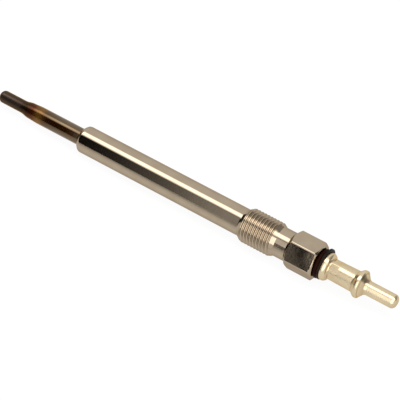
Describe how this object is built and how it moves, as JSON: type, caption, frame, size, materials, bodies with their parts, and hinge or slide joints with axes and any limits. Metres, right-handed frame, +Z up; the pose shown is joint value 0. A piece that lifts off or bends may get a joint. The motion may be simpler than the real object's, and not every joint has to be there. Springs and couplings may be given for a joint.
{
  "type": "diesel glow plug",
  "caption": "Sheathed diesel glow plug: swaged heater tube in a long steel shell with taper seat, thread and hexagon, sealed by a rubber ring, with a push-on pin terminal.",
  "frame": {"origin": "on the plug's axis, where the taper seat meets the shank", "axes": "+X along the axis from the heater's tip to the terminal, +Z up as the plug lies on a table"},
  "size_m": [0.1322, 0.0114, 0.0106],
  "materials": {
    "plated_steel": "nickel plated, glossy",
    "heat_tinted_alloy": "heat tinted, dull at the tip",
    "coil_wire": "drawn wire",
    "packed_powder": "packed powder",
    "plain_steel": "drawn rod",
    "seal_rubber": "moulded rubber",
    "insulator": "moulded plastic",
    "terminal_metal": "pale plated brass, turned"
  },
  "bodies": {
    "root": {"housing": "plated_steel", "glow_tube": "heat_tinted_alloy", "heating_coil": "coil_wire", "regulating_coil": "coil_wire", "magnesia_filling": "packed_powder", "connection_stud": "plain_steel", "tube_seal": "seal_rubber", "body_seal": "seal_rubber", "insulating_washer": "insulator", "terminal_pin": "terminal_metal"}
  },
  "joints": []
}
